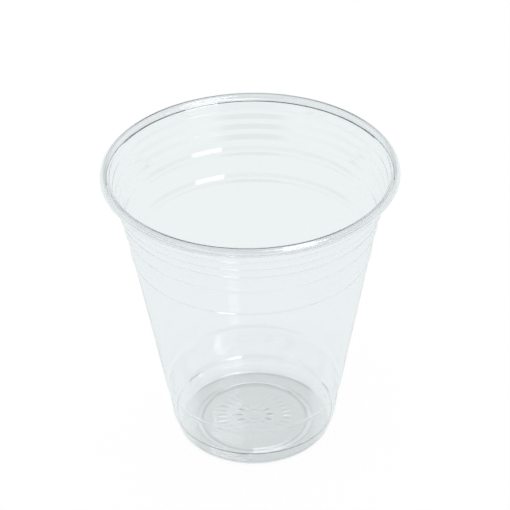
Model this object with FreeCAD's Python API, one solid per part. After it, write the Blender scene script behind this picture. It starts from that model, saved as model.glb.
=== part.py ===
import FreeCAD, Part

import math
import os

# Clear disposable cup, formed in one piece from one sheet of plastic.
# Millimetres, axis on Z, standing on z = 0.
# Radii are those of the outer skin, up to the rim, where the sheet rolls outwards.

# The cup as a whole
HEIGHT = 104.0
RIM_DIAMETER = 98.2
FOOT_DIAMETER = 53.2
WALL = 0.35

# Rolled rim: the sheet curls out over the top, down, and under to its free lip
ROLL_WIDTH = 3.2
ROLL_HEIGHT = 3.0
ROLL_ROUNDING = 1.3
ROLL_CHORDS = 1

# Collar under the rim: a neck that flares into the roll, then steps that take the wall inwards
NECK_HEIGHT = 6.7
NECK_TAPER = 0.87
COLLAR_STEPS = 3
STEP_PITCH = 3.5
STEP_DRAFT = 0.12
LEDGE_WIDTH = 0.86
LEDGE_RISE = 1.7

# Two grip bands, where the taper stands upright and then steps in, by their depth under the rim
BAND_DEPTHS = (17.7, 27.7)
BAND_HEIGHT = 3.5
BAND_DRAFT = 0.03
BAND_LEDGE = 1.1

# Ring and shoulder low on the wall, from the foot upwards
FOOT_FLARE = 0.75
FOOT_WALL_HEIGHT = 5.5
SHOULDER_WIDTH = 1.1
SHOULDER_RISE = 1.0
LOWER_FLARE = 1.25
LOWER_WALL_HEIGHT = 10.4
RING_WIDTH = 0.75
RING_RISE = 1.7

# Base: a standing ring round a disc that is pushed up a little
FOOT_ROUNDING = 2.4
FOOT_CHORDS = 2
DISC_RADIUS = 17.9
DISC_SLOPE = 1.3
DISC_RISE = 0.8

# Stacking lugs: bulges of the foot wall that keep nested cups apart
LUG_COUNT = 3
LUG_START_ANGLE = 20.0
LUG_WIDTH = 6.7
LUG_OUT = 0.75
LUG_LOW = 2.6
LUG_HEIGHT = 2.4
LUG_SLANT = 0.4

# Radii and heights that follow from the sizes above
ROLL_INNER_RADIUS = RIM_DIAMETER / 2 - ROLL_WIDTH
NECK_RADIUS = ROLL_INNER_RADIUS + WALL
FOOT_RADIUS = FOOT_DIAMETER / 2
SHOULDER_RADIUS = FOOT_RADIUS + FOOT_FLARE
LOWER_RADIUS = SHOULDER_RADIUS + SHOULDER_WIDTH
RING_RADIUS = LOWER_RADIUS + LOWER_FLARE
BODY_LOW_RADIUS = RING_RADIUS + RING_WIDTH
STEP_WIDTH = STEP_DRAFT + LEDGE_WIDTH
COLLAR_WIDTH = COLLAR_STEPS * STEP_WIDTH - STEP_DRAFT
BODY_TOP_RADIUS = NECK_RADIUS - NECK_TAPER - COLLAR_WIDTH

SHOULDER_LOW = FOOT_WALL_HEIGHT
SHOULDER_TOP = SHOULDER_LOW + SHOULDER_RISE
RING_LOW = SHOULDER_TOP + LOWER_WALL_HEIGHT
RING_TOP = RING_LOW + RING_RISE
NECK_LOW = HEIGHT - NECK_HEIGHT
BODY_TOP = NECK_LOW - LEDGE_RISE - (COLLAR_STEPS - 1) * STEP_PITCH


def direction(start, end):
    """Unit vector in the (radius, height) plane from one corner to the next."""
    length = math.hypot(end[0] - start[0], end[1] - start[1])
    return (end[0] - start[0]) / length, (end[1] - start[1]) / length


def rounded(before, corner, after, rounding, chords):
    """Ends of the even chords that take the place of a corner, on an arc of the given radius."""
    arrive = direction(before, corner)
    leave = direction(corner, after)
    side = math.copysign(1, arrive[0] * leave[1] - arrive[1] * leave[0])
    turn = math.acos(arrive[0] * leave[0] + arrive[1] * leave[1])
    reach = rounding * math.tan(turn / 2)
    ends = []
    for chord in range(chords + 1):
        angle = turn * chord / chords
        along = rounding * math.sin(angle) - reach
        across = side * rounding * (1 - math.cos(angle))
        radius = corner[0] + along * arrive[0] - across * arrive[1]
        height = corner[1] + along * arrive[1] + across * arrive[0]
        ends.append((radius, height))
    return ends


def body_radius(height):
    """Radius of the plain taper between the ring and the collar."""
    share = (height - RING_TOP) / (BODY_TOP - RING_TOP)
    return BODY_LOW_RADIUS + share * (BODY_TOP_RADIUS - BODY_LOW_RADIUS)


def foot_wall_radius(height):
    """Radius of the slanted wall between the foot's corner and the shoulder."""
    return FOOT_RADIUS + FOOT_FLARE * height / FOOT_WALL_HEIGHT


def base_corners():
    """Corners (radius, height) of the outer side, from the axis out under the cup to the ring."""
    disc_edge = (DISC_RADIUS + DISC_SLOPE, 0)
    foot_corner = (FOOT_RADIUS, 0)
    shoulder = (SHOULDER_RADIUS, SHOULDER_LOW)
    return [
        (0, DISC_RISE),
        (DISC_RADIUS, DISC_RISE),
        disc_edge,
        *rounded(disc_edge, foot_corner, shoulder, FOOT_ROUNDING, FOOT_CHORDS),
        shoulder,
        (LOWER_RADIUS, SHOULDER_TOP),
        (RING_RADIUS, RING_LOW),
        (BODY_LOW_RADIUS, RING_TOP),
    ]


def band_corners(depth):
    """Corners of one grip band, from the foot of its ledge up to its top edge."""
    top = HEIGHT - depth
    low = top - BAND_HEIGHT
    return [
        (body_radius(low), low),
        (body_radius(top) - BAND_DRAFT, low + BAND_LEDGE),
        (body_radius(top), top),
    ]


def collar_corners():
    """Corners of the steps under the rim, from the lowest ledge up to the foot of the neck."""
    corners = []
    for step in range(COLLAR_STEPS):
        ledge_low = BODY_TOP + step * STEP_PITCH
        inner = BODY_TOP_RADIUS + step * STEP_WIDTH
        corners.append((inner, ledge_low))
        corners.append((inner + LEDGE_WIDTH, ledge_low + LEDGE_RISE))
    return corners


def roll_corners():
    """Corners of the hollow side of the rolled rim, from the head of the neck to the free lip."""
    neck_low = (NECK_RADIUS - NECK_TAPER, NECK_LOW)
    inner_top = (NECK_RADIUS, HEIGHT - WALL)
    outer_top = (RIM_DIAMETER / 2 - WALL, HEIGHT - WALL)
    outer_low = (outer_top[0], HEIGHT - ROLL_HEIGHT + WALL)
    inner_low = (NECK_RADIUS, outer_low[1])
    rounding = ROLL_ROUNDING - WALL
    return [
        *rounded(neck_low, inner_top, outer_top, rounding, ROLL_CHORDS),
        *rounded(inner_top, outer_top, outer_low, rounding, ROLL_CHORDS),
        *rounded(outer_top, outer_low, inner_low, rounding, ROLL_CHORDS),
    ]


def outer_skin():
    """All corners of the sheet's outer side, from the middle of the base to the free lip."""
    corners = base_corners()
    for depth in sorted(BAND_DEPTHS, reverse=True):
        corners += band_corners(depth)
    return corners + collar_corners() + roll_corners()


def shifted_left(corners, distance):
    """The same chain of corners moved to its left by a distance, mitred at each corner."""
    moved = []
    last = len(corners) - 1
    for i, (radius, height) in enumerate(corners):
        arrive = direction(corners[max(i - 1, 0)], corners[max(i, 1)])
        leave = direction(corners[min(i, last - 1)], corners[min(i + 1, last)])
        mitre = distance / (1 + arrive[0] * leave[0] + arrive[1] * leave[1])
        shift_out = -mitre * (arrive[1] + leave[1])
        shift_up = mitre * (arrive[0] + leave[0])
        moved.append((radius + shift_out, height + shift_up))
    return moved


def section_face(corners):
    """Flat face inside a closed chain of corners, in the plane that holds the cup's axis."""
    points = [FreeCAD.Vector(radius, 0, height) for radius, height in corners]
    return Part.Face(Part.makePolygon(points + points[:1]))


def turned(face, angle=360.0):
    """Solid that a section sweeps about the cup's axis."""
    return face.revolve(FreeCAD.Vector(0, 0, 0), FreeCAD.Vector(0, 0, 1), angle)


def sheet_shell():
    """The whole cup without its lugs: one sheet of even thickness, turned about the axis."""
    outer = outer_skin()
    inner = shifted_left(outer, WALL)
    return turned(section_face(outer + inner[::-1]))


def lug_block(angle, root, out, inset):
    """Sector of a ring on the foot wall, from root to out of its skin, shrunk by the inset."""
    low = LUG_LOW + inset
    high = LUG_LOW + LUG_HEIGHT - inset
    slant_low = low + LUG_SLANT
    section = section_face([
        (foot_wall_radius(low) + root, low),
        (foot_wall_radius(slant_low) + out, slant_low),
        (foot_wall_radius(high) + out, high),
        (foot_wall_radius(high) + root, high),
    ])
    span = math.degrees((LUG_WIDTH - 2 * inset) / SHOULDER_RADIUS)
    block = turned(section, span)
    block.rotate(FreeCAD.Vector(0, 0, 0), FreeCAD.Vector(0, 0, 1), angle - span / 2)
    return block


def cup():
    """The cup: its turned sheet with the lugs pressed out of the foot wall."""
    shape = sheet_shell()
    for lug in range(LUG_COUNT):
        angle = LUG_START_ANGLE + lug * 360.0 / LUG_COUNT
        bulge = lug_block(angle, -WALL / 2, LUG_OUT, 0)
        hollow = lug_block(angle, -2 * WALL, LUG_OUT - WALL, WALL)
        shape = shape.fuse(bulge).cut(hollow)
    return shape.Solids[0]


def main():
    """Build the one piece and write its file."""
    os.makedirs("parts", exist_ok=True)
    shape = cup()
    print("cup: valid", shape.isValid(), "volume mm3", round(shape.Volume, 1))
    shape.exportStep("parts/cup.step")


main()
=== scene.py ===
import logging
import math
from dataclasses import dataclass, field
from enum import Enum
from typing import Any, NamedTuple

import bpy
import numpy as np
from mathutils import Euler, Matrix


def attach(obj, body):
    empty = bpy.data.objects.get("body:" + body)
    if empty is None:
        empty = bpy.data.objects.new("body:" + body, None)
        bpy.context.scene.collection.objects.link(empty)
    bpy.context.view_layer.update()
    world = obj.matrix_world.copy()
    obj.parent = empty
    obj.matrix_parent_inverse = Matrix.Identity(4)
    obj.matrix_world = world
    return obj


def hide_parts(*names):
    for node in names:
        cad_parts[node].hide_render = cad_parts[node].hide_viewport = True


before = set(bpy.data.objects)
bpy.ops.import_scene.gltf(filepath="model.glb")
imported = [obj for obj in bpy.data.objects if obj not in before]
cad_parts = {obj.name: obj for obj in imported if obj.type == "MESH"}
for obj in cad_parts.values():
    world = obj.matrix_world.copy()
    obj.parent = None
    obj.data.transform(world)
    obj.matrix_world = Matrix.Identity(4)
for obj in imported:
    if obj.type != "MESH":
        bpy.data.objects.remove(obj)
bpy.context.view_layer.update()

LOG = logging.getLogger("clear_cup")
MM = 0.001
NO_BEND = 0.0
WHITE = (1.0, 1.0, 1.0, 1.0)
# Limits on the counts that Light Path keeps: between no reflection and one, and between
# the two surfaces of the cup's near wall and a third.
UNMIRRORED = 0.5
NEAR_WALL = 2.5
# The cup's sizes are in millimetres, and those of the floor and the lamps in metres.

Colour = tuple[float, float, float]
Tones = tuple[tuple[float, float], ...]
Socket = bpy.types.NodeSocket


class Corner(NamedTuple):
    """One corner of the sheet's outer side, in millimetres.

    bend is the radius of the sheet's middle round the corner, and rows is the spacing of the
    mesh's rows on the straight run that follows it.
    """

    radius: float
    height: float
    bend: float
    rows: float = 4.0


def unit(vectors: np.ndarray) -> np.ndarray:
    """Vectors of length one along the last axis.

    Args:
        vectors: Any array of vectors.

    Returns:
        The same vectors, each divided by its length.
    """
    return vectors / np.linalg.norm(vectors, axis=-1, keepdims=True)


def left_of(vectors: np.ndarray) -> np.ndarray:
    """Plane vectors turned a quarter turn to the left: (x, y) becomes (-y, x)."""
    return np.stack([-vectors[..., 1], vectors[..., 0]], axis=-1)


def soft_step(value: np.ndarray, start: float, end: float) -> np.ndarray:
    """Smooth rise from 0 at start to 1 at end: 3t^2 - 2t^3 of the share t of the way."""
    share = np.clip((value - start) / (end - start), 0.0, 1.0)
    return share * share * (3.0 - 2.0 * share)


def soft_window(distance: np.ndarray, half_width: float, edge: float) -> np.ndarray:
    """1 within half_width of the middle, falling smoothly to 0 over the edge outside it."""
    return 1.0 - soft_step(np.abs(distance), half_width, half_width + edge)


class BentPath:
    """Line in the (radius, height) plane: straight runs joined by arcs, with its left normals."""

    ARC_SAMPLES = 5
    GUARD = 0.35

    def __init__(self, corners: list[Corner], shift: float) -> None:
        """Works out the path's points.

        Args:
            corners: The outer side's corners, in order.
            shift: How far to the left of them the path runs.
        """
        places = np.array([corner[:2] for corner in corners], float)
        bends = np.array([corner.bend for corner in corners], float)
        rows = np.array([corner.rows for corner in corners], float)
        places = self._mitred(places, shift)
        starts, arcs, tangents, ends = self._arcs(places, bends[1:-1])
        points, directions = [places[:1]], [unit(places[1:2] - places[:1])]
        run_starts = np.vstack([places[:1], ends])
        run_ends = np.vstack([starts, places[-1:]])
        for index, (begin, finish) in enumerate(zip(run_starts, run_ends)):
            shares = self._run_shares(np.linalg.norm(finish - begin), rows[index])
            points.append(begin + shares[:, None] * (finish - begin))
            directions.append(np.repeat(unit(finish - begin)[None], len(shares), axis=0))
            if index < len(arcs):
                points.append(arcs[index])
                directions.append(tangents[index])
        points.append(places[-1:])
        directions.append(unit(places[-1:] - places[-2:-1]))
        self.points = np.vstack(points)
        self.tangents = np.vstack(directions)
        self.normals = left_of(self.tangents)

    @staticmethod
    def _mitred(places: np.ndarray, shift: float) -> np.ndarray:
        """The chain moved to its left: each corner goes along the sum of its two runs' left
        normals, by shift over one plus the cosine of the turn.

        Args:
            places: The chain's corners.
            shift: How far each run moves.

        Returns:
            The moved corners.
        """
        runs = unit(np.diff(places, axis=0))
        arrive = np.vstack([runs[:1], runs])
        leave = np.vstack([runs, runs[-1:]])
        mitre = shift / (1.0 + np.sum(arrive * leave, axis=1, keepdims=True))
        return places + mitre * (left_of(arrive) + left_of(leave))

    @classmethod
    def _arcs(cls, places: np.ndarray, bends: np.ndarray) -> tuple[np.ndarray, ...]:
        """Arcs at the inner corners: from its start, a point moves along the arriving run by
        bend sin(a), and across it by bend (1 - cos(a)), while a goes from 0 to the turn.

        Args:
            places: The chain's corners.
            bends: Radius of the arc at each inner one.

        Returns:
            The arcs' first points, all their points, their tangents, and their last points.
        """
        runs = unit(np.diff(places, axis=0))
        arrive, leave = runs[:-1], runs[1:]
        cross = arrive[:, 0] * leave[:, 1] - arrive[:, 1] * leave[:, 0]
        turn = np.arctan2(cross, np.sum(arrive * leave, axis=1))
        reach = bends * np.tan(np.abs(turn) / 2)
        starts = places[1:-1] - reach[:, None] * arrive
        angles = np.abs(turn)[:, None] * np.linspace(0.0, 1.0, cls.ARC_SAMPLES)
        side = np.sign(turn)[:, None]
        along = bends[:, None] * np.sin(angles)
        across = side * bends[:, None] * (1.0 - np.cos(angles))
        aside = left_of(arrive)
        arcs = (starts[:, None] + along[..., None] * arrive[:, None]
                + across[..., None] * aside[:, None])
        tangents = (np.cos(angles)[..., None] * arrive[:, None]
                    + (side * np.sin(angles))[..., None] * aside[:, None])
        return starts, arcs, tangents, arcs[:, -1]

    @classmethod
    def _run_shares(cls, length: float, spacing: float) -> np.ndarray:
        """Shares of a straight run at which it gets a row: one near each end, to keep it
        straight under smooth shading, and even ones between.

        Args:
            length: The run's length.
            spacing: How far apart the rows are, at most about.

        Returns:
            The shares in rising order, or none for a very short run.
        """
        if length < 3 * cls.GUARD:
            return np.empty(0)
        guard = cls.GUARD / length
        count = max(2, 1 + round((length - 2 * cls.GUARD) / spacing))
        return np.linspace(guard, 1.0 - guard, count)


@dataclass(frozen=True)
class RolledRim:
    """The bead at the mouth: the sheet goes up, out, down and back under itself."""

    diameter: float = 98.2
    width: float = 3.2
    height: float = 3.0
    inner_bend: float = 1.3
    outer_bend: float = 1.4
    low_bend: float = 1.2
    neck_bend: float = 0.5
    lip_gap: float = 0.9

    def inner_radius(self) -> float:
        """Radius of the mouth, on the sheet's inner side."""
        return self.diameter / 2 - self.width

    def corners(self, top: float, wall: float) -> list[Corner]:
        """Corners of the bead's hollow side, up to the free lip.

        Args:
            top: Height of the cup.
            wall: Thickness of the sheet.

        Returns:
            The corners, from the head of the neck on.
        """
        neck = self.inner_radius() + wall
        outer = self.diameter / 2 - wall
        low = top - self.height + wall
        return [
            Corner(neck, top - self.height, self.neck_bend),
            Corner(neck, top - wall, self.inner_bend),
            Corner(outer, top - wall, self.outer_bend),
            Corner(outer, low, self.low_bend),
            Corner(neck + self.lip_gap, low, NO_BEND),
        ]


@dataclass(frozen=True)
class Collar:
    """The stepped part under the bead, which a lid grips."""

    steps: int = 3
    pitch: float = 3.5
    ledge_width: float = 0.98
    ledge_rise: float = 1.7
    neck_height: float = 6.7
    neck_fall: float = 5.3
    neck_taper: float = 0.75
    bend: float = 1.5
    neck_bend: float = 0.8

    def width(self) -> float:
        """How far the collar takes the wall inwards, below its neck."""
        return self.steps * self.ledge_width

    def low(self, top: float) -> float:
        """Height of the lowest ledge's foot."""
        return top - self.neck_height - self.ledge_rise - (self.steps - 1) * self.pitch

    def corners(self, top: float, neck_radius: float) -> list[Corner]:
        """Corners from the lowest ledge up to where the neck begins to flare.

        Args:
            top: Height of the cup.
            neck_radius: Radius at the head of the neck.

        Returns:
            Two corners for each ledge, and one for the neck.
        """
        head = neck_radius - self.neck_taper
        found = []
        for step in range(self.steps):
            height = self.low(top) + step * self.pitch
            inner = head - self.width() + step * self.ledge_width
            found.append(Corner(inner, height, self.bend))
            found.append(Corner(inner + self.ledge_width, height + self.ledge_rise, self.bend))
        found.append(Corner(head, top - self.neck_fall, self.neck_bend))
        return found


@dataclass(frozen=True)
class Body:
    """The tapered wall with its two grip bands, and the ring low on it."""

    band_depths: tuple[float, ...] = (27.7, 17.7)
    band_height: float = 3.5
    band_ledge: float = 1.1
    band_bend: float = 2.6
    band_head_bend: float = 1.2
    ring_low: float = 16.9
    ring_rise: float = 1.7
    ring_radius: float = 29.7
    ring_width: float = 0.75
    ring_bend: float = 2.6

    def radius(self, height: float, top: float, top_radius: float) -> float:
        """Radius of the plain taper at a height, on the straight line between its ends."""
        low = self.ring_low + self.ring_rise
        share = (height - low) / (top - low)
        low_radius = self.ring_radius + self.ring_width
        return low_radius + share * (top_radius - low_radius)

    def corners(self, cup_top: float, top: float, top_radius: float) -> list[Corner]:
        """Corners from the ring up to the upper band's head.

        Args:
            cup_top: Height of the cup, from which the bands' depths count.
            top: Height of the taper's head.
            top_radius: Radius there.

        Returns:
            Two corners for the ring, and three for each band.
        """
        found = [
            Corner(self.ring_radius, self.ring_low, self.ring_bend),
            Corner(self.ring_radius + self.ring_width, self.ring_low + self.ring_rise,
                   self.ring_bend),
        ]
        for depth in self.band_depths:
            head = cup_top - depth
            foot = head - self.band_height
            face = self.radius(head, top, top_radius)
            found.append(Corner(self.radius(foot, top, top_radius), foot, self.band_bend))
            found.append(Corner(face, foot + self.band_ledge, self.band_bend))
            found.append(Corner(face, head, self.band_head_bend))
        return found


@dataclass(frozen=True)
class Foot:
    """The base disc, the ring that the cup stands on, and the wall above it to the shoulder."""

    radius: float = 26.6
    flare: float = 0.75
    wall_height: float = 5.5
    shoulder_width: float = 1.1
    shoulder_rise: float = 1.0
    shoulder_bend: float = 0.5
    bend: float = 1.7
    disc_radius: float = 18.0
    disc_slope: float = 2.4
    disc_rise: float = 0.8
    disc_bend: float = 0.5
    disc_rows: float = 0.42
    wall_rows: float = 0.34

    def corners(self) -> list[Corner]:
        """Corners from the axis out under the cup and up to the shoulder's head."""
        shoulder = self.radius + self.flare
        return [
            Corner(0.0, self.disc_rise, NO_BEND, self.disc_rows),
            Corner(self.disc_radius, self.disc_rise, self.disc_bend),
            Corner(self.disc_radius + self.disc_slope, 0.0, self.disc_bend),
            Corner(self.radius, 0.0, self.bend, self.wall_rows),
            Corner(shoulder, self.wall_height, self.shoulder_bend),
            Corner(shoulder + self.shoulder_width, self.wall_height + self.shoulder_rise,
                   self.shoulder_bend),
        ]


@dataclass(frozen=True)
class StackingLugs:
    """Bulges pressed out of the foot wall, which keep nested cups apart.

    Their edges are soft, and the inset takes a little off their height at both ends. The
    base, inside its radius, isn't pressed.
    """

    count: int = 3
    start_angle: float = 20.0
    width: float = 6.7
    out: float = 0.75
    low: float = 2.7
    height: float = 2.3
    edge: float = 0.5
    inset: float = 0.2
    base_radius: float = 24.0

    def push(self, radius: np.ndarray, height: np.ndarray, angle: np.ndarray) -> np.ndarray:
        """How far the sheet is pressed outwards: out times a window round each lug's angle,
        as a length along the wall, times a window in height. The base stays as it is.

        Args:
            radius: Radius of the sheet's middle.
            height: Height of the sheet's middle.
            angle: Angle round the axis, in radians.

        Returns:
            The push in millimetres, for each row and angle.
        """
        pitch = 2 * math.pi / self.count
        apart = (angle - math.radians(self.start_angle) + pitch / 2) % pitch - pitch / 2
        sideways = soft_window(apart * radius, self.width / 2 - self.edge, self.edge)
        middle = self.low + self.height / 2
        upwards = soft_window(height - middle, self.height / 2 - self.inset, self.edge)
        return self.out * sideways * upwards * (radius > self.base_radius)


@dataclass(frozen=True)
class Wreath:
    """Short ribs set round the axis, each along its radius."""

    ribs: int
    middle: float
    half_length: float


@dataclass(frozen=True)
class BasePress:
    """Plain pressed relief on the base disc: a ring, with two wreaths of short ribs round it.

    It keeps a margin from the edge of the disc.
    """

    rise: float = 0.15
    line: float = 0.55
    edge: float = 0.35
    ring_radius: float = 2.6
    wreaths: tuple[Wreath, ...] = (Wreath(12, 5.4, 0.9), Wreath(30, 11.6, 1.5))
    margin: float = 1.0

    def lift(self, x: np.ndarray, y: np.ndarray) -> np.ndarray:
        """How far the disc is lifted: rise times the strongest mark at a point.

        Args:
            x: Place across the base, in millimetres.
            y: Place along the base.

        Returns:
            The lift in millimetres at each place.
        """
        radius, angle = np.hypot(x, y), np.arctan2(y, x)
        marks = [soft_window(radius - self.ring_radius, self.line / 2, self.edge)]
        for wreath in self.wreaths:
            turn = 2 * math.pi / wreath.ribs
            aside = radius * np.sin((angle + turn / 2) % turn - turn / 2)
            marks.append(self._bar(radius - wreath.middle, aside, wreath.half_length))
        return self.rise * np.max(marks, axis=0)

    def _bar(self, along: np.ndarray, across: np.ndarray, half: float) -> np.ndarray:
        """Short straight bar, soft at its sides and ends."""
        return soft_window(along, half, self.edge) * soft_window(across, self.line / 2, self.edge)


class Blend(Enum):
    """How a colour is mixed onto another one."""

    MIX = "MIX"
    LIGHTEN = "LIGHTEN"


class Graph:
    """A node tree, with short calls for the nodes that materials and the world share."""

    def __init__(self, tree: bpy.types.NodeTree) -> None:
        """Takes over the tree and empties it."""
        self.nodes, self.links = tree.nodes, tree.links
        self.nodes.clear()

    def node(self, kind: str, inputs: dict[str | int, Any] | None = None,
             **settings: Any) -> bpy.types.Node:
        """Adds a node.

        Args:
            kind: The node's type.
            inputs: A socket or a plain value for each input, by its name or number.
            settings: The node's own properties, which are set first.

        Returns:
            The new node.
        """
        made = self.nodes.new(kind)
        for name, value in settings.items():
            setattr(made, name, value)
        for name, value in (inputs or {}).items():
            if isinstance(value, Socket):
                self.links.new(value, made.inputs[name])
            else:
                made.inputs[name].default_value = value
        return made

    def maths(self, operation: str, *values: Any) -> Socket:
        """Result of an operation on one or two values, each a socket or a number."""
        made = self.node("ShaderNodeMath", dict(enumerate(values)), operation=operation)
        return made.outputs["Value"]

    def slope(self, value: Socket, zero: float, one: float) -> Socket:
        """Smooth change from 0 to 1.

        Args:
            value: The socket that is read.
            zero: Value at which the result is 0.
            one: Value at which it is 1, above zero or below it.

        Returns:
            The result's socket.
        """
        falls = zero > one
        return self.node("ShaderNodeMapRange", {
            "Value": value,
            "From Min": min(zero, one),
            "From Max": max(zero, one),
            "To Min": float(falls),
            "To Max": float(not falls),
        }, interpolation_type="SMOOTHSTEP").outputs["Result"]

    def window(self, value: Socket, span: tuple[float, float],
               edges: tuple[float, float]) -> Socket:
        """1 where an angle is within a span, and 0 outside its soft ends.

        Args:
            value: The angle, in radians.
            span: Its lowest and highest value, in degrees.
            edges: Width of the soft end under the span and over it, in degrees.

        Returns:
            The result's socket.
        """
        low, high = span
        rise = self.slope(value, math.radians(low - edges[0]), math.radians(low))
        fall = self.slope(value, math.radians(high + edges[1]), math.radians(high))
        return self.maths("MULTIPLY", rise, fall)

    def ramp(self, value: Socket, stops: Tones, tint: Colour) -> Socket:
        """Colour that runs from stop to stop: the tint times the tone between two stops.

        Args:
            value: The socket that the ramp reads.
            stops: Values from 0 to 1 in rising order, each with the tone there.
            tint: Colour that each tone is multiplied by.

        Returns:
            The ramp's colour socket.
        """
        made = self.node("ShaderNodeValToRGB", {"Fac": value})
        made.color_ramp.interpolation = "EASE"
        points = made.color_ramp.elements
        points[0].position, points[1].position = stops[0][0], stops[-1][0]
        for position, _ in stops[1:-1]:
            points.new(position)
        for point, (_, tone) in zip(points, stops):
            point.color = (*(tone * part for part in tint), 1.0)
        return made.outputs["Color"]

    def blend(self, share: Socket, first: Any, second: Any, kind: Blend = Blend.MIX) -> Socket:
        """Mixes two colours.

        Args:
            share: How much of the second colour is mixed in, from 0 to 1.
            first: Socket or colour that is left where the share is 0.
            second: Socket or colour that is mixed onto it.
            kind: How it is mixed.

        Returns:
            The mixed colour's socket.
        """
        made = self.node("ShaderNodeMix", {"Factor": share, 6: first, 7: second},
                         data_type="RGBA", blend_type=kind.value)
        return made.outputs[2]

    def mix_shader(self, share: Socket, first: Socket, second: Socket) -> Socket:
        """The first shader where the share is 0, and the second where it is 1."""
        return self.node("ShaderNodeMixShader", {0: share, 1: first, 2: second}).outputs["Shader"]


@dataclass(frozen=True)
class SheetRipple:
    """Unevenness of formed sheet: a soft height, and a faint haze where it is high."""

    stretch: tuple[float, float, float] = (1.0, 1.0, 0.35)
    detail: float = 2.0
    haze_span: tuple[float, float] = (0.35, 0.75)
    haze: float = 0.03

    def group(self) -> bpy.types.NodeTree:
        """Node group that gives the height and the roughness at a place."""
        tree = bpy.data.node_groups.new("Sheet Ripple", "ShaderNodeTree")
        tree.interface.new_socket("Place", in_out="INPUT", socket_type="NodeSocketVector")
        for name in ("Ripples per Metre", "Base Roughness"):
            tree.interface.new_socket(name, in_out="INPUT", socket_type="NodeSocketFloat")
        for name in ("Height", "Roughness"):
            tree.interface.new_socket(name, in_out="OUTPUT", socket_type="NodeSocketFloat")
        graph = Graph(tree)
        given = graph.node("NodeGroupInput").outputs
        stretched = graph.node("ShaderNodeMapping", {
            "Vector": given["Place"],
            "Scale": self.stretch,
        })
        waves = graph.node("ShaderNodeTexNoise", {
            "Vector": stretched.outputs["Vector"],
            "Scale": given["Ripples per Metre"],
            "Detail": self.detail,
        }).outputs["Fac"]
        haze = graph.node("ShaderNodeMapRange", {
            "Value": waves,
            "From Min": self.haze_span[0],
            "From Max": self.haze_span[1],
            "To Max": self.haze,
        }).outputs["Result"]
        roughness = graph.maths("ADD", haze, given["Base Roughness"])
        graph.node("NodeGroupOutput", {"Height": waves, "Roughness": roughness})
        return tree


@dataclass(frozen=True)
class ClearPlastic:
    """Clear, colourless, glossy formed sheet."""

    colour: Colour = (0.975, 0.985, 0.987)
    ior: float = 1.57
    shadow: Colour = (0.93, 0.935, 0.94)
    roughness: float = 0.02
    ripple_size: float = 7.0
    ripple_height: float = 0.012
    ripple: SheetRipple = field(default_factory=SheetRipple)

    def material(self) -> bpy.types.Material:
        """The plastic: a refracting sheet with faint ripples, which lets lamps through."""
        made = bpy.data.materials.new("clear_plastic")
        made.use_nodes = True
        graph = Graph(made.node_tree)
        ripple = graph.node("ShaderNodeGroup", {
            "Place": graph.node("ShaderNodeTexCoord").outputs["Object"],
            "Ripples per Metre": 1.0 / (self.ripple_size * MM),
            "Base Roughness": self.roughness,
        }, node_tree=self.ripple.group())
        bump = graph.node("ShaderNodeBump", {
            "Strength": 1.0,
            "Distance": self.ripple_height * MM,
            "Height": ripple.outputs["Height"],
        })
        sheet = graph.node("ShaderNodeBsdfPrincipled", {
            "Base Color": (*self.colour, 1.0),
            "Transmission Weight": 1.0,
            "IOR": self.ior,
            "Roughness": ripple.outputs["Roughness"],
            "Normal": bump.outputs["Normal"],
        })
        clear = graph.node("ShaderNodeBsdfTransparent", {"Color": (*self.shadow, 1.0)})
        in_shadow = graph.node("ShaderNodeLightPath").outputs["Is Shadow Ray"]
        shown = graph.mix_shader(in_shadow, sheet.outputs["BSDF"], clear.outputs["BSDF"])
        graph.node("ShaderNodeOutputMaterial", {"Surface": shown})
        return made


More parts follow.
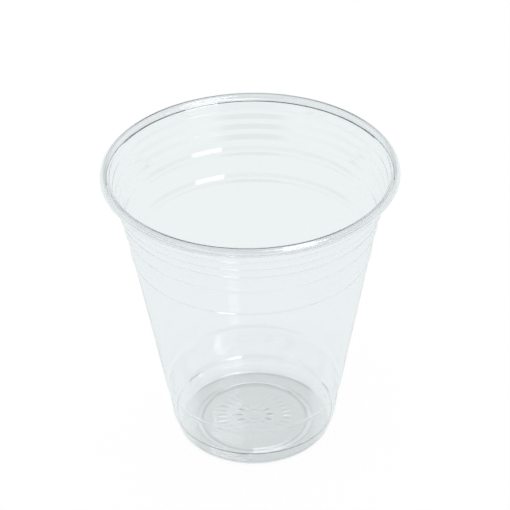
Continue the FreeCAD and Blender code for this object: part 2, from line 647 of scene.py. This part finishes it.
@dataclass(frozen=True)
class Cup:
    """The whole formed cup: one closed sheet turned about the axis, with its pressed marks."""

    height: float = 104.0
    wall: float = 0.35
    segments: int = 216
    lip_samples: int = 6
    rim: RolledRim = field(default_factory=RolledRim)
    collar: Collar = field(default_factory=Collar)
    body: Body = field(default_factory=Body)
    foot: Foot = field(default_factory=Foot)
    lugs: StackingLugs = field(default_factory=StackingLugs)
    press: BasePress = field(default_factory=BasePress)
    plastic: ClearPlastic = field(default_factory=ClearPlastic)

    def corners(self) -> list[Corner]:
        """The outer side's corners, from the middle of the base to the bead's free lip."""
        neck = self.rim.inner_radius() + self.wall
        taper_top = self.collar.low(self.height)
        taper_radius = neck - self.collar.neck_taper - self.collar.width()
        return (self.foot.corners()
                + self.body.corners(self.height, taper_top, taper_radius)
                + self.collar.corners(self.height, neck)
                + self.rim.corners(self.height, self.wall))

    def section(self) -> tuple[np.ndarray, np.ndarray]:
        """The closed section: the sheet's middle line moved half a wall out, round the free lip
        by a half circle, and back half a wall in.

        Returns:
            The section's points, and the middle line's point that each belongs to.
        """
        path = BentPath(self.corners(), self.wall / 2)
        half = self.wall / 2
        outside = path.points - half * path.normals
        inside = path.points + half * path.normals
        sweep = np.linspace(-math.pi / 2, math.pi / 2, self.lip_samples)[1:-1, None]
        end = path.points[-1]
        lip = end + half * (np.cos(sweep) * path.tangents[-1] + np.sin(sweep) * path.normals[-1])
        points = np.vstack([outside, lip, inside[::-1]])
        lip_middles = np.repeat(end[None], len(lip), axis=0)
        middles = np.vstack([path.points, lip_middles, path.points[::-1]])
        return points, middles

    def surface(self) -> np.ndarray:
        """Grid of points: the section's radius and height carried round the axis, with the
        lugs' push added to the radius and the press marks' lift added to the height.

        Returns:
            An array of section rows by segments by three coordinates, in metres.
        """
        points, middles = self.section()
        angle = np.arange(self.segments) * 2 * math.pi / self.segments
        radius, height = points[:, :1], points[:, 1:]
        middle_radius, middle_height = middles[:, :1], middles[:, 1:]
        radius = radius + self.lugs.push(middle_radius, middle_height, angle)
        x, y = middle_radius * np.cos(angle), middle_radius * np.sin(angle)
        on_disc = middle_radius < self.foot.disc_radius - self.press.margin
        height = height + self.press.lift(x, y) * on_disc
        return np.stack([radius * np.cos(angle), radius * np.sin(angle), height], axis=-1) * MM

    def build(self) -> bpy.types.Object:
        """Makes the cup's mesh and dresses it."""
        mesh = mesh_of_rings("clear_cup", self.surface())
        piece = bpy.data.objects.new("clear_cup", mesh)
        bpy.context.scene.collection.objects.link(piece)
        mesh.materials.append(self.plastic.material())
        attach(piece, "root")
        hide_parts("cup")
        LOG.info("%s: %d triangles", piece.name, len(mesh.loop_triangles))
        return piece


def mesh_of_rings(name: str, grid: np.ndarray) -> bpy.types.Mesh:
    """Closed mesh over rings of points, whose first and last rings are single points.

    Args:
        name: The mesh's name.
        grid: Rings by segments by coordinates.

    Returns:
        A smooth-shaded mesh of quads, with a fan of triangles at each pole.
    """
    rings, segments = grid.shape[:2]
    bands = rings - 3  # rings between the poles, less one
    points = np.vstack([grid[0, :1], grid[1:-1].reshape(-1, 3), grid[-1, :1]])
    here = np.arange(segments)
    following = (here + 1) % segments
    row = 1 + segments * np.arange(bands)[:, None]
    quads = np.stack([row + here, row + following, row + segments + following,
                      row + segments + here], axis=-1).reshape(-1, 4)
    last_row = 1 + segments * bands
    first_fan = np.stack([np.zeros(segments, int), 1 + following, 1 + here], axis=-1)
    last_fan = np.stack([np.full(segments, len(points) - 1), last_row + here,
                         last_row + following], axis=-1)
    fans = np.vstack([first_fan, last_fan])
    mesh = bpy.data.meshes.new(name)
    mesh.from_pydata(points.tolist(), [], quads.tolist() + fans.tolist())
    mesh.polygons.foreach_set("use_smooth", np.ones(len(mesh.polygons), bool))
    mesh.calc_loop_triangles()
    return mesh


class LampPlace(Enum):
    """Where the studio's soft lamps hang: azimuth and elevation in degrees, distance in metres."""

    KEY = (318.0, 62.0, 0.75)


@dataclass(frozen=True)
class Lamp:
    """A soft rectangular lamp that faces the cup: its sides are in metres, its power in watts,
    and the height that it aims at in millimetres."""

    place: LampPlace
    width: float
    length: float
    power: float
    aim_height: float = 60.0

    def build(self) -> bpy.types.Object:
        """Hangs the lamp and turns it to the cup."""
        azimuth, elevation, distance = self.place.value
        turn, rise = math.radians(azimuth), math.radians(elevation)
        data = bpy.data.lights.new(f"lamp_{self.place.name.lower()}", "AREA")
        data.shape = "RECTANGLE"
        data.size, data.size_y = self.width, self.length
        data.energy = self.power
        lamp = bpy.data.objects.new(data.name, data)
        out = np.array([math.cos(rise) * math.cos(turn), math.cos(rise) * math.sin(turn),
                        math.sin(rise)])
        lamp.location = out * distance + np.array([0.0, 0.0, self.aim_height * MM])
        lamp.rotation_euler = Euler((math.pi / 2 - rise, 0.0, turn + math.pi / 2))
        lamp.visible_camera = False
        bpy.context.scene.collection.objects.link(lamp)
        return lamp


@dataclass(frozen=True)
class PaintedHighlight:
    """Painted highlight: a bright patch of the room, which only the cup beyond its near wall
    mirrors, and which lights nothing else.

    Its azimuth and elevation are spans of directions in degrees. The edges are the widths of
    its azimuth's two soft ends, and the strength is how much it adds.
    """

    azimuth: tuple[float, float]
    edges: tuple[float, float]
    elevation: tuple[float, float]
    strength: float


@dataclass(frozen=True)
class Studio:
    """Pale floor, white backdrop, soft lamps and the camera.

    The floor's painted shade and caustic rings go by the distance from the cup's axis in
    millimetres, and the rooms' by the elevation of a direction in degrees. Sides and near side are
    parts of a direction.
    """

    floor_radius: float = 3.0
    floor_core: float = 0.02
    floor_rings: int = 24
    floor_segments: int = 96
    floor_depth: float = 0.002
    floor_gap: float = 0.0001
    floor_grey: float = 0.9
    shadow_core: float = 0.03
    shadow_reach: float = 0.16
    shadow_share: float = 0.06
    backdrop: Colour = (0.872, 0.905, 0.911)
    # Painted contact shade and caustic rings under the cup, which only light through the plastic
    # sees: dark at the disc's edge, at the foot of its slope and round the foot's rim, light
    # between and outside.
    painted_shade_and_caustics: Tones = (
        (0.0, 0.89), (17.4, 0.88), (18.3, 0.66), (19.2, 0.95), (20.3, 0.76), (21.2, 0.87),
        (24.4, 0.84), (25.4, 0.58), (26.2, 0.97), (40.0, 1.0))
    # Painted light at the foot's left and right, which only light through the plastic sees: its
    # span of distance sideways from the axis, and its tone.
    side_light: tuple[float, float] = (18.8, 22.0)
    painted_side_light_tone: float = 0.95
    room: Tones = ((-90.0, 0.95), (-20.0, 1.0), (8.0, 1.0), (18.0, 0.05), (90.0, 0.03))
    # Painted reflections: tones that only light mirrored in the cup sees, lighter at the sides,
    # with a dark band low down beyond the near wall.
    mirrored_painted_reflection: Tones = (
        (-90.0, 0.95), (-20.0, 1.0), (-1.0, 1.0), (12.0, 0.1), (90.0, 0.03))
    inner_painted_reflection: Tones = (
        (-90.0, 0.95), (-50.0, 0.95), (-40.0, 0.0), (-30.5, 0.0), (-27.5, 1.0),
        (-1.0, 1.0), (12.0, 0.1), (90.0, 0.03))
    side_painted_reflection: Tones = (
        (-90.0, 0.95), (-20.0, 1.0), (45.0, 1.0), (62.0, 0.3), (90.0, 0.05))
    sides: tuple[tuple[float, float], ...] = ((0.2, 0.55), (-0.28, -0.6))
    near_side: tuple[float, float] = (0.45, 0.1)
    # Painted highlights on the cup's collar and bands, its lower wall and the front of its base.
    painted_highlights: tuple[PaintedHighlight, ...] = (
        PaintedHighlight((-64.0, -38.0), (0.8, 4.0), (-42.0, -29.5), 6.0),
        PaintedHighlight((-72.0, -62.4), (4.0, 0.8), (-22.0, -16.0), 0.6),
        PaintedHighlight((54.0, 92.0), (6.0, 5.0), (59.0, 82.0), 4.5),
    )
    highlight_edge: float = 1.0
    bounces: int = 24
    sensor: float = 36.0
    lens: float = 162.35
    camera_clip: float = 0.01
    camera_place: tuple[float, float, float] = (0.0, -635.76, 504.52)
    camera_turn: tuple[float, float, float] = (55.590, 0.834, -0.673)
    lamps: tuple[Lamp, ...] = (
        Lamp(LampPlace.KEY, 0.37, 0.30, 1.5),
    )

    def build(self) -> None:
        """Sets up everything round the cup."""
        scene = bpy.context.scene
        scene.view_settings.view_transform = "Standard"
        scene.cycles.max_bounces = self.bounces
        scene.cycles.transmission_bounces = self.bounces
        scene.cycles.glossy_bounces = self.bounces
        scene.cycles.transparent_max_bounces = self.bounces
        self._world()
        self._floor()
        for lamp in self.lamps:
            lamp.build()
        self._camera()

    def _camera(self) -> None:
        """Camera at the photograph's angle."""
        data = bpy.data.cameras.new("camera")
        data.sensor_width = self.sensor
        data.lens = self.lens
        data.clip_start = self.camera_clip
        camera = bpy.data.objects.new("camera", data)
        camera.location = np.array(self.camera_place) * MM
        camera.rotation_euler = Euler([math.radians(turn) for turn in self.camera_turn])
        bpy.context.scene.collection.objects.link(camera)
        bpy.context.scene.camera = camera

    def _floor(self) -> None:
        """Round floor: rings of growing radius, flat at the cup's foot."""
        growing = np.geomspace(self.floor_core, self.floor_radius, self.floor_rings)
        rings = np.concatenate([[0.0], growing])
        angle = np.arange(self.floor_segments) * 2 * math.pi / self.floor_segments
        x, y = rings[:, None] * np.cos(angle), rings[:, None] * np.sin(angle)
        under = np.stack([x, y, np.full_like(x, -self.floor_depth)], axis=-1)
        over = np.stack([x, y, np.full_like(x, -self.floor_gap)], axis=-1)
        mesh = mesh_of_rings("floor", np.vstack([under, over[::-1]]))
        mesh.polygons.foreach_set("use_smooth", np.zeros(len(mesh.polygons), bool))
        floor = bpy.data.objects.new("floor", mesh)
        bpy.context.scene.collection.objects.link(floor)
        mesh.materials.append(self._floor_material())

    def _floor_material(self) -> bpy.types.Material:
        """White floor. The camera sees it plain, with the cup's faint shadow; light that has passed
        through the plastic sees painted contact shade and caustic rings on it, and mirrored light
        the room."""
        made = bpy.data.materials.new("white_floor")
        made.use_nodes = True
        graph = Graph(made.node_tree)
        place = graph.node("ShaderNodeTexCoord").outputs["Object"]
        path = graph.node("ShaderNodeLightPath").outputs
        reach = graph.node("ShaderNodeVectorMath", {0: place}, operation="LENGTH").outputs["Value"]
        # Painted contact shade and caustic rings, with painted light at the foot's sides.
        painted_floor_tone = self._painted_side_light(graph, place, self._painted_shade_and_caustics_tone(graph, reach))
        shown = graph.blend(path["Is Camera Ray"], painted_floor_tone, WHITE)
        glow = graph.node("ShaderNodeEmission", {"Color": shown})
        grey = self.floor_grey
        matte = graph.node("ShaderNodeBsdfDiffuse", {"Color": (grey, grey, grey, 1.0)})
        fade = graph.node("ShaderNodeMapRange", {
            "Value": reach,
            "From Min": self.shadow_core,
            "From Max": self.shadow_reach,
            "To Min": 1.0 - self.shadow_share,
            "To Max": 1.0,
        }, interpolation_type="SMOOTHSTEP")
        table = graph.mix_shader(fade.outputs["Result"], matte.outputs["BSDF"],
                                 glow.outputs["Emission"])
        turned = graph.maths("GREATER_THAN", path["Glossy Depth"], UNMIRRORED)
        clear = graph.node("ShaderNodeBsdfTransparent")
        surface = graph.mix_shader(turned, table, clear.outputs["BSDF"])
        graph.node("ShaderNodeOutputMaterial", {"Surface": surface})
        return made

    def _painted_shade_and_caustics_tone(self, graph: Graph, reach: Socket) -> Socket:
        """Painted contact shade and caustic rings at a distance from the cup's axis, in metres."""
        widest = self.painted_shade_and_caustics[-1][0]
        share = graph.node("ShaderNodeMapRange", {"Value": reach, "From Max": widest * MM})
        tones = tuple((radius / widest, tone) for radius, tone in self.painted_shade_and_caustics)
        return graph.ramp(share.outputs["Result"], tones, self.backdrop)

    def _painted_side_light(self, graph: Graph, place: Socket, tone: Socket) -> Socket:
        """Adds painted light, for the light that the foot gathers at its left and right, to the
        painted rings' tone.

        Args:
            graph: The floor's graph.
            place: Place on the floor, in metres.
            tone: The painted rings' tone there.

        Returns:
            The lightened tone's socket.
        """
        parts = graph.node("ShaderNodeSeparateXYZ", {"Vector": place})
        apart = graph.maths("ABSOLUTE", parts.outputs["X"])
        start, end = self.side_light
        beside = graph.slope(apart, start * MM, end * MM)
        painted_gathered_light = (*(self.painted_side_light_tone * part for part in self.backdrop), 1.0)
        return graph.blend(beside, tone, painted_gathered_light, Blend.LIGHTEN)

    def _world(self) -> None:
        """White backdrop for the camera, and a room that darkens upwards for other light, with
        painted reflections and painted highlights that only mirrored light sees.
        """
        world = bpy.data.worlds.new("studio")
        bpy.context.scene.world = world
        world.use_nodes = True
        graph = Graph(world.node_tree)
        place = graph.node("ShaderNodeTexCoord").outputs["Generated"]
        parts = graph.node("ShaderNodeSeparateXYZ", {"Vector": place}).outputs
        path = graph.node("ShaderNodeLightPath").outputs
        inside = graph.maths("GREATER_THAN", path["Transmission Depth"], NEAR_WALL)
        turned = graph.maths("GREATER_THAN", path["Glossy Depth"], UNMIRRORED)
        mirrored = graph.maths("MULTIPLY", inside, turned)
        room = self._room_tone(graph, parts, turned, mirrored)
        dim = graph.node("ShaderNodeBackground", {"Color": room})
        lit = self._with_painted_highlights(graph, parts, mirrored, dim.outputs["Background"])
        white = graph.node("ShaderNodeBackground", {"Color": WHITE})
        plain_white = graph.maths("MAXIMUM", path["Is Camera Ray"], path["Is Diffuse Ray"])
        shown = graph.mix_shader(plain_white, lit, white.outputs["Background"])
        graph.node("ShaderNodeOutputWorld", {"Surface": shown})

    def _room_tone(self, graph: Graph, parts: bpy.types.NodeOutputs, turned: Socket,
                   mirrored: Socket) -> Socket:
        """Colour of the room in a direction, which differs for light that the cup has mirrored:
        there it is a painted reflection.

        Args:
            graph: The world's graph.
            parts: The direction's three parts, by name.
            turned: 1 for light that has been mirrored at all.
            mirrored: 1 for light that has been mirrored beyond the near wall.

        Returns:
            The colour's socket.
        """
        height = graph.node("ShaderNodeMapRange", {"Value": parts["Z"], "From Min": -1.0})
        straight, outer, beside, inner = (
            graph.ramp(height.outputs["Result"], by_elevation(tones), self.backdrop)
            for tones in (self.room, self.mirrored_painted_reflection, self.side_painted_reflection, self.inner_painted_reflection))
        for start, end in self.sides:
            outer = graph.blend(graph.slope(parts["X"], start, end), outer, beside)
        room = graph.blend(turned, straight, outer)
        near = graph.slope(parts["Y"], *self.near_side)
        return graph.blend(graph.maths("MULTIPLY", mirrored, near), room, inner)

    def _with_painted_highlights(self, graph: Graph, parts: bpy.types.NodeOutputs, mirrored: Socket,
                    lit: Socket) -> Socket:
        """Adds the painted highlights, bright patches, to the room.

        Args:
            graph: The world's graph.
            parts: The direction's three parts, by name.
            mirrored: 1 for light that has been mirrored beyond the near wall.
            lit: The room's background.

        Returns:
            The socket of the background with its patches.
        """
        azimuth = graph.maths("ARCTAN2", parts["Y"], parts["X"])
        elevation = graph.maths("ARCSINE", parts["Z"])
        for glow in self.painted_highlights:
            across = graph.window(azimuth, glow.azimuth, glow.edges)
            upwards = graph.window(elevation, glow.elevation, (self.highlight_edge, self.highlight_edge))
            mask = graph.maths("MULTIPLY", across, upwards)
            patch = graph.node("ShaderNodeBackground", {
                "Color": graph.maths("MULTIPLY", mask, mirrored),
                "Strength": glow.strength,
            })
            total = graph.node("ShaderNodeAddShader", {0: lit, 1: patch.outputs["Background"]})
            lit = total.outputs["Shader"]
        return lit


def by_elevation(tones: Tones) -> Tones:
    """Stops for a ramp over the height of a direction, (sine of elevation + 1) / 2."""
    return tuple(((math.sin(math.radians(elevation)) + 1) / 2, tone) for elevation, tone in tones)


def main() -> None:
    """Builds the cup and its studio."""
    logging.basicConfig(level=logging.INFO, format="%(name)s: %(message)s")
    Cup().build()
    Studio().build()


if __name__ == "__main__":
    main()
